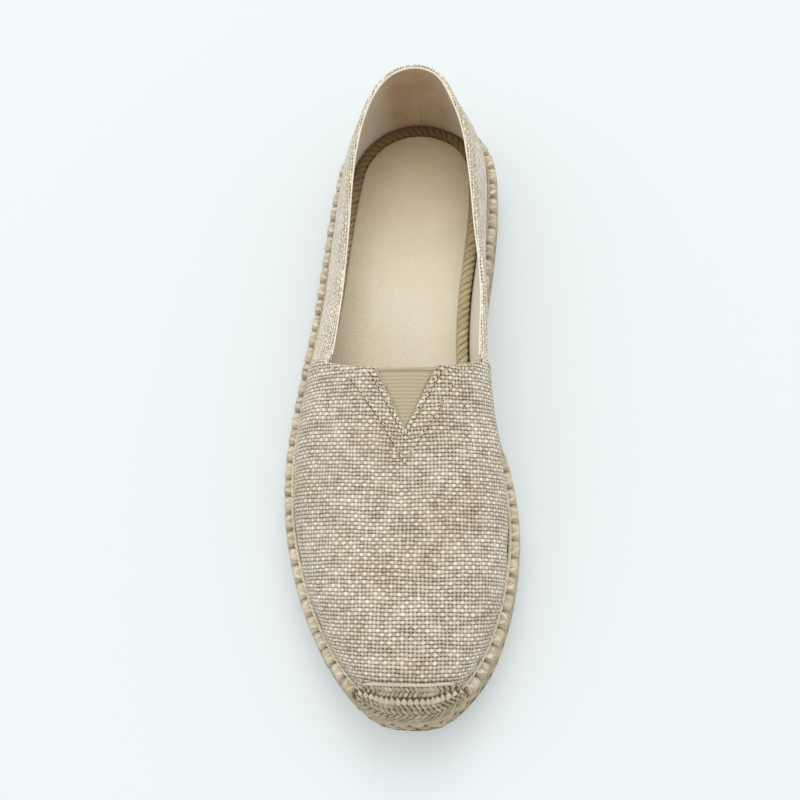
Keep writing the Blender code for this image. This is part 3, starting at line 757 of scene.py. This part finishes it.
foot_rope = edge_rope(
    "inner_rope", np.arange(0.0, AROUND, 0.55 * MM), inset=8.95 * MM, above=1.75 * MM,
    width=4.9 * MM, height=3.3 * MM, strands=3, pitch=9.0 * MM, sides=18, groove=0.30, hand=-1.0,
)
# Its darker tones towards the heel are painted shade, and its groove tone is painted shade between the
# strands.
rope = two_tone_jute(
    "inner_rope_jute", 0.94, sheen=0.1, fore=(tone(128, 92, 46), tone(255, 238, 194)),
    aft=(tone(58, 38, 16), tone(166, 128, 76)), change=(0.04, 0.115), groove=(0.12, 0.62),
    groove_shade=tone(72, 52, 30), depth=0.14 * MM,
)
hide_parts("foot_rope")
seat(foot_rope, "inner_rope", rope)

# Upper
# Coarse linen in plain weave, backed with cream canvas. The vamp lies on the quarters with a folded
# edge at each side seam, and its throat edge and the collar are folded too.

OUTER_SEAM = (13.1 * MM, 3.9 * MM)
INNER_SEAM = (7.9 * MM, 3.9 * MM)
SEAM_LOW, SEAM_HIGH = 18.5 * MM, 45.5 * MM
EDGE_TURN = math.radians(48)
VAMP_PITCH, QUARTER_PITCH, LINING_PITCH = 1.47 * MM, 1.40 * MM, 0.6 * MM
HEM_DEPTH, HEM_FADE = 4.6 * MM, 1.6 * MM
GATHER_PITCH, GATHER_DRIFT = 5.6 * MM, 31.0 * MM
GATHER_DEPTH, GATHER_HEIGHT = 0.28 * MM, 7.0 * MM
# Collar line from the outer corner round the heel to the inner corner, in millimetres
COLLAR = (
    (-27.3, 5.0, 47.4), (-25.7, 19.0, 46.5), (-24.5, 31.0, 46.9), (-23.4, 47.8, 48.5), (-22.2, 72.2, 52.5),
    (-20.9, 86.0, 55.3), (-18.4, 102.0, 58.6), (-13.5, 116.0, 61.4), (-6.9, 125.0, 62.7), (3.9, 128.8, 63.0),
    (14.0, 125.0, 62.7), (18.9, 116.0, 61.4), (24.3, 102.0, 58.6), (27.0, 86.0, 55.3), (28.8, 71.5, 52.4),
    (31.7, 47.7, 48.5), (32.7, 31.8, 46.9), (32.4, 20.0, 46.5), (32.3, 5.0, 46.5),
)
# Folds where the cloth is drawn over the last: points in plan in millimetres, width and depth
FOLDS = (
    (((-37, -34), (-14, -43), (10, -46), (34, -41)), 6.5, -0.70),
    (((-40, -58), (-16, -66), (8, -68), (38, -63)), 7.5, -0.50),
    (((-30, 0), (-27, -16), (-30, -30)), 3.6, -0.60),
    (((25, 0), (24, -14), (28, -28)), 3.6, -0.65),
    (((17, -4), (16, -18), (12, -30)), 4.2, 0.45),
    (((-12, -4), (-13, -20), (-8, -34)), 4.2, 0.40),
    (((34, -70), (38, -52), (37, -34)), 4.6, -0.60),
)
collar_line = smooth_run(COLLAR, 0.7)

upper = copy_of("upper", "cloth_upper")
shell = bmesh.new()
shell.from_mesh(upper.data)
shell.faces.ensure_lookup_table()
shell.normal_update()


def spread_from(start, limit):
    """Faces that can be reached from one face without crossing a real edge."""
    found, open_faces = {start}, [start]
    while open_faces:
        for edge in open_faces.pop().edges:
            if len(edge.link_faces) == 2 and edge.calc_face_angle() < limit:
                for face in edge.link_faces:
                    if face not in found:
                        found.add(face)
                        open_faces.append(face)
    return found


def seam_y(side, z):
    """Place of the side seam along the shoe at a height, on the side that the sign names."""
    low, high = OUTER_SEAM if side < 0 else INNER_SEAM
    return low + (high - low) * min(max((z - SEAM_LOW) / (SEAM_HIGH - SEAM_LOW), 0.0), 1.0)


shell_tree = BVHTree.FromBMesh(shell)
inner_wall = shell_tree.ray_cast(Vector((3 * MM, 60 * MM, 35 * MM)), Vector((1.0, 0.0, 0.0)))[2]
inner_faces = spread_from(shell.faces[inner_wall], EDGE_TURN)
for face in shell.faces:
    middle = face.calc_center_median()
    on_vamp = middle.y < seam_y(middle.x, middle.z)
    face.material_index = 2 if face in inner_faces else (0 if on_vamp else 1)
crease = shell.edges.layers.float.new("crease_edge")
for edge in shell.edges:
    if edge.calc_face_angle(0.0) > EDGE_TURN:
        middle = (edge.verts[0].co + edge.verts[1].co) / 2
        at_seam = abs(middle.y - seam_y(middle.x, 0.0)) < 12 * MM and middle.z < 44 * MM
        edge[crease] = 0.9 if at_seam else 0.45
shell.to_mesh(upper.data)
shell.free()


def unwrap(piece, index):
    """Flattens the faces of one material into the UV map, with as little stretch as may be."""
    mesh = piece.data
    mesh.polygons.foreach_set("select", [p.material_index == index for p in mesh.polygons])
    mesh.edges.foreach_set("select", [False] * len(mesh.edges))
    chosen = {i for p in mesh.polygons if p.material_index == index for i in p.vertices}
    mesh.vertices.foreach_set("select", [i in chosen for i in range(len(mesh.vertices))])
    bpy.ops.object.mode_set(mode="EDIT")
    bpy.ops.mesh.select_mode(type="FACE")
    bpy.ops.uv.unwrap(method="MINIMUM_STRETCH", iterations=60, margin=0.0)
    bpy.ops.object.mode_set(mode="OBJECT")


def true_size(piece, index, low, high, upward, stretch=1.0):
    """Turns and scales one unwrapped cloth so that it lies in metres, as it does inside a box."""
    mesh = piece.data
    loops = [i for p in mesh.polygons if p.material_index == index for i in p.loop_indices]
    uvs = np.array([mesh.uv_layers.active.data[i].uv for i in loops])
    points = np.array([mesh.vertices[mesh.loops[i].vertex_index].co for i in loops])
    pick = np.all((points > np.array(low) * MM) & (points < np.array(high) * MM), axis=1)
    every = uvs[:, 0] + 1j * uvs[:, 1]
    b = points[pick, 0] + 1j * points[pick, upward] * stretch
    best = None
    for laid in (every, every.conjugate()):
        a = laid[pick]
        s, t = a - a.mean(), b - b.mean()
        factor = np.sum(s.conjugate() * t) / np.sum(np.abs(s) ** 2)
        error = np.sum(np.abs(t - factor * s) ** 2)
        if best is None or error < best[0]:
            best = (error, (laid - a.mean()) * factor + b.mean())
    for i, value in zip(loops, best[1]):
        mesh.uv_layers.active.data[i].uv = (value.real, value.imag)


upper.data.uv_layers.new(name="UVMap")
unwrap(upper, 0)
true_size(upper, 0, (-12, -95, 33), (20, -30, 99), upward=1, stretch=1.03)
unwrap(upper, 1)
true_size(upper, 1, (-11, 110, -99), (17, 199, 99), upward=2)


def refined(piece, levels, kind="CATMULL_CLARK"):
    """Divides the faces of the active piece finely, rounded or as they are."""
    bpy.ops.object.modifier_add(type="SUBSURF")
    finer = piece.modifiers[-1]
    finer.subdivision_type = kind
    finer.levels = finer.render_levels = levels
    bpy.ops.object.modifier_apply(modifier=finer.name)


refined(upper, 2)
points = np.array([v.co for v in upper.data.vertices])
normals = np.array([v.normal for v in upper.data.vertices])
shift = np.zeros(len(points))
for line, wide, depth in FOLDS:
    away = np.linalg.norm(points[:, None, :2] - smooth_run(line, 1.0)[None], axis=2).min(axis=1)
    shift += depth * MM * np.exp(-((away / (wide * MM)) ** 2))
gap = np.linalg.norm(points[:, None, :2] - EDGE[None, ::4], axis=2)
run = EDGE_RUN[::4][gap.argmin(axis=1)]
lift = points[:, 2] - top_height(points[:, 1])
toe_side = np.clip((-20 * MM - points[:, 1]) / (30 * MM), 0.0, 1.0)
gathers = np.sin(run / GATHER_PITCH * 2 * math.pi + 1.4 * np.sin(run / GATHER_DRIFT * 2 * math.pi))
shift += GATHER_DEPTH * gathers * np.exp(-((lift / GATHER_HEIGHT) ** 2)) * toe_side
shift[points[:, 1] > 2 * MM] = 0.0
from_middle = (points - [3 * MM, 0.0, 20 * MM]) * [1, 0, 1]
outside = np.where(np.einsum("ij,ij->i", normals, from_middle) > 0, 1.0, -1.0)
points += normals * (shift * outside)[:, None]
upper.data.vertices.foreach_set("co", points.ravel())
upper.data.shade_smooth()
away = np.linalg.norm(points[:, None] - collar_line[None, ::3], axis=2).min(axis=1)
store(upper.data, "hem", np.clip((HEM_DEPTH - away) / HEM_FADE, 0.0, 1.0))

weave, given, result = new_group(
    "plain_weave", [("Place", "Vector"), ("Pitch", "Float")], [("Height", "Float"), ("Tint", "Float")]
)
scaled = vectors("SCALE", given["Place"], None, None, maths("DIVIDE", 1.0, given["Pitch"]))
moved = scaled
for scale, reach in ((0.07, 1.12), (0.7, 0.352)):
    drift = vectors("SUBTRACT", noise(scaled, scale, 1.0, out=1), (0.5, 0.5, 0.5))
    moved = vectors("ADD", moved, vectors("SCALE", drift, None, None, reach))
u, v, _ = split(moved)


def thread(along_it, across_it, sign, thin, thick, rise, seed):
    """Height and tint of the threads that run one way, over and under the others in turn."""
    number = maths("FLOOR", across_it)
    slub = noise(wire("CombineXYZ", along_it * 0.22, number * 3.7, seed), 1.0, 2.0)
    off = (maths("FRACT", across_it) - 0.5) / ranged(slub, 0.3, 0.7, thin, thick)
    body = maths("SQRT", maths("MAXIMUM", maths("SUBTRACT", 1.0, off**2.0), 0.0))
    wave = maths("SINE", (along_it + number) * math.pi)
    gap = maths("LESS_THAN", body, 0.05) * -1.5
    return body * 0.7 + wave * (0.55 * sign) + rise + gap, slub


warp, warp_slub = thread(v, u, 1.0, 0.24, 0.40, 0.0, 0.0)
weft, weft_slub = thread(u, v, -1.0, 0.28, 0.46, 0.28, 9.0)
fill(result["Height"], ranged(maths("MAXIMUM", warp, weft), -0.5, 1.53))
chosen = wire("Mix", maths("GREATER_THAN", weft, warp), None, warp_slub - 0.13, weft_slub)
fill(result["Tint"], ranged(chosen, 0.25, 0.62))


def linen_finish(name, pitch, deep, hem_gap_shade, middle, pale, warm, depth):
    """Coarse linen in plain weave on the piece's UV map, with warm patches, painted highlights on the
    threads' crowns and painted shade in the gaps between them, deeper along the hem.
    """
    finish, tree, shader = new_finish(name, 0.9, sheen=0.25)
    cut = cut_place(tree)
    cloth = use_group(tree, weave, Place=cut, Pitch=pitch)
    height = cloth["Height"]
    # The colour follows the weave's height: painted shade in the gaps between threads, the thread's own tone
    # in the middle, a painted highlight on the crowns.
    ramp = mixed(ranged(height, 0.12, 0.42), mixed(stored(tree, "hem"), deep, hem_gap_shade), middle)
    ramp = mixed(ranged(height, 0.45, 0.92), ramp, pale)
    thin = mixed(ranged(cloth["Tint"], 0.0, 1.0, 0.7, 0.0), ramp, middle, way="MULTIPLY")
    patch = ranged(noise(own_place(tree), 42.0, 3.0, 0.55), 0.42, 0.72, 0.0, 0.5)
    hairs = noise(cut, 6500.0, 2.0, 0.6)
    cover(shader, mixed(patch, thin, warm, way="MULTIPLY"), height + hairs * 0.12, depth)
    return finish


# Colours in order: painted shade in the gaps, the same along the hem, the thread's own tone, a painted
# highlight on the crowns, warm patches.
vamp_linen = linen_finish(
    "vamp_linen", VAMP_PITCH, tone(88, 72, 52), tone(88, 72, 52), tone(183, 168, 145), tone(241, 231, 213),
    tone(228, 213, 190), 0.6 * MM,
)
quarter_linen = linen_finish(
    "quarter_linen", QUARTER_PITCH, tone(146, 131, 108), tone(100, 83, 61), tone(206, 195, 177),
    tone(244, 236, 222), tone(238, 228, 212), 0.40 * MM,
)

lining, tree, shader = new_finish("cream_canvas", 0.9, sheen=0.2)
where = own_place(tree)
x, y, z = split(where)
# The lining turns brown and darker inside the heel, most at the middle of its back wall and broken up by
# noise: painted shade with painted brown reflected light.
deep = ranged(y, 0.055, 0.125, 0.0, 0.95) * ranged(noise(where, 55.0, 3.0, 0.6), 0.3, 0.7, 0.75, 1.0)
deep = deep * ranged(abs(x - 4.0 * MM), 0.010, 0.024, 1.0, 0.25)
seam = ranged(abs(x - 4.5 * MM), 0.1 * MM, 0.4 * MM, 0.3, 0.0)
seam = seam * maths("GREATER_THAN", y, 0.1) * maths("LESS_THAN", z, 0.034)
shaded_cream = mixed(deep, tone(234, 225, 208), tone(164, 130, 86))
folded = noise(vectors("MULTIPLY", where, (90.0, 90.0, 22.0)), 1.0, 2.0)
cells = use_group(tree, weave, Place=where, Pitch=LINING_PITCH)
cover(shader, mixed(seam, shaded_cream, tone(96, 74, 50)), folded + cells["Height"] * 0.04, 0.8 * MM)
seat(upper, "upper_cloth", vamp_linen, quarter_linen, lining)

# Lining's edge
# The cream lining shows as a thin welt along the inside of the collar, from corner to corner.
# It is turned over and caught by the collar's upper row of stitches.

SPINE_X, SPINE_END = 3.5 * MM, 88.0 * MM
WELT_BELOW, WELT_RISE = 1.6 * MM, 1.3 * MM

upper_tree = BVHTree.FromPolygons(
    [v.co for v in upper.data.vertices], [tuple(p.vertices) for p in upper.data.polygons]
)


def from_spine(place):
    """A point of the shoe's middle line level with a place on the collar, and the way out to it."""
    spine = np.array([SPINE_X, min(max(place[1], 0.0), SPINE_END), place[2]])
    return spine, unit(place - spine)


welt_route, welt_in = [], []
for place in collar_line:
    spine, away = from_spine(place)
    hit = upper_tree.ray_cast(Vector(spine - [0, 0, WELT_BELOW]), Vector(away))[0]
    if hit is not None:
        welt_route.append(np.array(hit) + [0.0, 0.0, WELT_RISE] - away * 0.05 * MM)
        welt_in.append(-away)
welt = lay_rope(
    "lining_welt", eased(np.array(welt_route), 5), welt_in, width=0.65 * MM, height=1.1 * MM,
    strands=2, pitch=40 * MM, sides=10, groove=0.0, closed=False,
)
cream, tree, shader = new_finish("welt_cream", 0.85, sheen=0.2)
grain = noise(own_place(tree), 2200.0, 2.0)
cover(shader, mixed(grain, tone(226, 217, 196), tone(248, 242, 226)), grain, 0.08 * MM)
seat(welt, "lining_canvas", cream)

# Stray fibres
# Jute sheds short hairs wherever its strands bend.
# They stand off the sole's side and the rim.

HAIR_COUNT = 460
HAIR_SIZE = (2.0 * MM, 0.11 * MM, 0.11 * MM)

rng = np.random.default_rng(43)
point, inward = edge_at(rng.uniform(0.0, AROUND, HAIR_COUNT), 0.6 * MM)
foot, crown = under_height(point[:, 1]) + SIDE_FOOT, top_height(point[:, 1]) + 0.2 * MM
root = np.column_stack([point, foot + (crown - foot) * rng.uniform(0.25, 1.0, HAIR_COUNT)])
outward = -level(inward)
way = outward * 0.8 + rng.normal(0.0, 0.45, (HAIR_COUNT, 3))
way = unit(way * np.where(np.sum(way * outward, axis=1) < 0.0, -1.0, 1.0)[:, None])
up = np.cross(way, unit(np.cross(way, [0.0, 0.0, 1.0])))
fibres = lay_lumps(
    "stray_fibres", model_lump(taper=0.5, segments=4, rings=5), root + way * 0.5 * MM,
    frames(way, up), HAIR_SIZE, seed=47, vary=0.3,
)
# The hairs wear the loops' paler jute, a painted highlight.
seat(fibres, "rim_braid", loop_jute)

# Gore
# A V of ribbed elastic under the throat, sewn to the back of the cloth.
# Its free edge has a fine hem.

HEM_Y = -5.2 * MM
RIB_PITCH, KNIT_PITCH = 1.36 * MM, 0.62 * MM

gore = copy_of("gore", "gore_elastic")
refined(gore, 3, "SIMPLE")
gore.data.shade_smooth()
elastic, tree, shader = new_finish("ribbed_elastic", 0.8, sheen=0.2)
x, y, _ = split(own_place(tree))
rib = maths("SINE", y * (2 * math.pi / RIB_PITCH)) * ranged(y, -4.3 * MM, HEM_Y)
knit = maths("SINE", (x + y * 0.6) * (2 * math.pi / KNIT_PITCH))
hem = ranged(abs(y - HEM_Y), 0.12 * MM, 0.34 * MM, 1.0, 0.0)
height = rib * 0.2 + knit * 0.2 + 0.5 - hem * 0.9
# The elastic is coloured darker in the grooves between its ribs and along the hem's groove: painted shade.
cover(shader, mixed(ranged(height, 0.0, 1.0), tone(156, 141, 110), tone(208, 194, 164)), height, 0.22 * MM)
seat(gore, "gore_elastic", elastic)

# Seam cord round the rim
# A thin twisted cord, pale round the vamp and golden along the quarters, covers the seam where the
# cloth is sewn down inside the rim.

SEAM_START = 24.6 * MM

seam_cord = edge_rope(
    "seam_cord", np.arange(SEAM_START, AROUND - SEAM_START, 0.5 * MM), inset=3.55 * MM, above=1.05 * MM,
    width=1.5 * MM, height=1.5 * MM, strands=2, pitch=4.4 * MM, sides=8, groove=0.3, closed=False,
)
# The cord's groove tone is painted shade between its strands.
cord = two_tone_jute(
    "seam_cord_jute", 0.9, sheen=0.15, fore=(tone(176, 160, 128), tone(244, 233, 207)),
    aft=(tone(128, 104, 72), tone(222, 201, 162)), change=(-0.005, 0.02), groove=(0.0, 0.5),
    groove_shade=tone(112, 84, 50), depth=0.05 * MM,
)
seat(seam_cord, "seam_thread", cord)

# Stitching
# Rows of linen thread: along both edges of the gore and in a V round it, along the throat, down the
# side seams and twice along the collar. Each stitch sinks into a small hole at its ends, shown as a dark mark
# of painted shade.

STITCH = 2.3 * MM
STITCH_SIZE = (1.85 * MM, 0.6 * MM, 0.5 * MM)
GORE_ROWS = 4
SIDE_ROWS = (1.4 * MM, 3.2 * MM)
COLLAR_ROWS = (1.5 * MM, 3.7 * MM)
# Throat's edge in plan, in millimetres: middle, half width, sweep, front, and how far the row lies before it
THROAT_MIDDLE, THROAT_HALF, THROAT_SWEEP, THROAT_FRONT, THROAT_ROW = 2.4, 29.9, 7.2, -4.2, 2.4


def from_above(line):
    """Where a line drawn in plan, in millimetres, lands on the cloth, with the cloth's normals there."""
    line = smooth_run(line, 0.5)
    return [upper_tree.ray_cast(Vector((x, y, 0.1)), Vector((0.0, 0.0, -1.0)))[:2] for x, y in line]


def down_the_side(side, ahead):
    """A line down the side seam, set ahead of it on the vamp."""
    found = []
    for z in np.arange(24.0, 44.5, 0.5) * MM:
        start = Vector((side * 0.1, seam_y(side, z) - ahead, z))
        found.append(upper_tree.ray_cast(start, Vector((-side, 0.0, 0.0)))[:2])
    return found


def along_collar(below):
    """A line on the outside of the quarters, a little below the collar."""
    found = []
    for place in collar_line:
        away = from_spine(place)[1]
        start = place + away * 0.02 - [0.0, 0.0, below]
        found.append(upper_tree.ray_cast(Vector(start), Vector(-away))[:2])
    return found


def seam_spots(found, pitch, lift):
    """Evenly spaced places on a found line, with length, width and thickness directions there."""
    line = np.array([list(place) + list(normal) for place, normal in found if place is not None])
    run = run_along(line[:, :3])
    at = np.arange(pitch / 2, run[-1], pitch)
    spot = sampled(at, run, line)
    length = sampled(at + 0.4 * MM, run, line[:, :3]) - sampled(at - 0.4 * MM, run, line[:, :3])
    normal = unit(spot[:, 3:])
    length = unit(length - normal * np.sum(length * normal, axis=1)[:, None])
    return spot[:, :3] + normal * lift, frames(length, normal)


def throat_row(*places):
    """A line along the throat's edge, on the vamp, through places across the shoe in millimetres."""
    corners = [THROAT_SWEEP * abs((x - THROAT_MIDDLE) / THROAT_HALF) ** 3 for x in places]
    return from_above([(x, THROAT_FRONT - THROAT_ROW + back) for x, back in zip(places, corners)])


seam_lines = [
    from_above([(-9.9, -5.4), (-4.0, -16.3), (3.3, -29.3)]),
    from_above([(3.3, -29.3), (10.0, -17.8), (16.6, -6.0)]),
    from_above([(-18.8, -5.6), (-14.2, -11.6), (-8.8, -19.1), (-4.7, -25.1), (-0.7, -32.0), (3.4, -39.2)]),
    from_above([(3.4, -39.2), (8.4, -31.3), (13.2, -23.5), (18.0, -15.9), (23.1, -6.6)]),
    throat_row(-26.0, -22.0, -18.0, -14.0, -10.5),
    throat_row(17.5, 21.0, 25.0, 29.0, 31.0),
]
seam_lines += [down_the_side(side, ahead) for side in (-1.0, 1.0) for ahead in SIDE_ROWS]
seam_lines += [along_collar(below) for below in COLLAR_ROWS]
threads = [seam_spots(found, STITCH, 0.02 * MM) for found in seam_lines]
stitches = lay_lumps(
    "stitches", model_lump(taper=0.3), np.vstack([s[0] for s in threads]), np.vstack([s[1] for s in threads]),
    STITCH_SIZE, seed=31,
)
pale_thread = jute_finish("pale_thread", tone(176, 160, 128), tone(240, 228, 200), depth=0.05 * MM)
seat(stitches, "seam_thread", pale_thread)

# Two rows of bare holes run from the throat towards the toe; the gore's rows have a dark line too, a painted
# shadow beside their stitches.
seam_lines += [
    from_above([(-28.3, -1.5), (-27.6, -8.9), (-26.1, -17.8)]),
    from_above([(24.2, -5.7), (25.4, -14.8), (26.2, -25.9), (27.1, -37.0)]),
]
places, ways, sizes = [], [], []
for number, found in enumerate(seam_lines):
    place, way = seam_spots(found, STITCH, 0.0)
    marks = [(place + way[:, 0] * STITCH / 2, (0.9, 0.6, 0.34) if number < GORE_ROWS else (0.7, 0.5, 0.26))]
    if number < GORE_ROWS:
        faint = number == GORE_ROWS - 1
        marks.append((place - way[:, 1] * 0.5 * MM, (1.3, 0.26, 0.16) if faint else (2.1, 0.32, 0.24)))
    for spot, size in marks:
        places.append(spot)
        ways.append(way)
        sizes.append(np.tile(size, (len(place), 1)) * MM)
holes = lay_lumps(
    "needle_holes", model_lump(taper=0.0, segments=8, rings=6), np.vstack(places), np.vstack(ways),
    np.vstack(sizes), seed=37,
)
# Every mark is a dark lump: painted shade in a needle hole or, beside the gore's rows, a painted shadow line.
hole_shade, tree, shader = new_finish("needle_hole", 1.0)
cover(shader, tone(104, 87, 64))
seat(holes, "seam_thread", hole_shade)

# Floor, light and camera
# A pale, faintly lit sweep under soft daylight from beyond the heel, seen from above the toes.

CAMERA_PLACE = (0.0489, -0.2665, 0.6443)
CAMERA_TURN = (23.056, 3.900, 1.658)
LENS = 76.74

bpy.ops.mesh.primitive_plane_add(size=40.0, location=(0.0, 0.0, 0.0))
floor = bpy.context.object
floor.name = "floor"
paper, tree, shader = new_finish("pale_paper", 0.9)
cover(shader, mixed(noise(own_place(tree), 2.0, 1.0), tone(186, 191, 192), tone(190, 194, 195)))
shader.inputs["Emission Color"].default_value = (0.93, 1.0, 1.0, 1.0)
shader.inputs["Emission Strength"].default_value = 0.30
floor.data.materials.append(paper)

world = bpy.data.worlds.new("soft_day")
world.use_nodes = True
sky = world.node_tree.nodes["Background"]
sky.inputs["Color"].default_value = (0.96, 0.99, 1.0, 1.0)
sky.inputs["Strength"].default_value = 0.90
bpy.context.scene.world = world


def soft_light(name, place, size, power, colour):
    """A large square lamp turned towards the shoe."""
    bpy.ops.object.light_add(type="AREA", location=place)
    lamp = bpy.context.object
    lamp.name = name
    lamp.data.size = size
    lamp.data.energy = power
    lamp.data.color = colour
    lamp.rotation_euler = (-Vector(place)).to_track_quat("-Z", "Y").to_euler()


soft_light("key_light", (0.10, 1.60, 2.60), 2.0, 34.0, (1.0, 0.99, 0.97))
soft_light("fill_light", (-0.9, 0.1, 1.3), 1.2, 1.8, (0.97, 0.99, 1.0))

bpy.ops.object.camera_add(location=CAMERA_PLACE, rotation=np.radians(CAMERA_TURN))
camera = bpy.context.object
camera.data.lens = LENS
camera.data.sensor_width = 36.0
camera.data.clip_start = 0.01
bpy.context.scene.camera = camera
bpy.context.scene.view_settings.view_transform = "Standard"
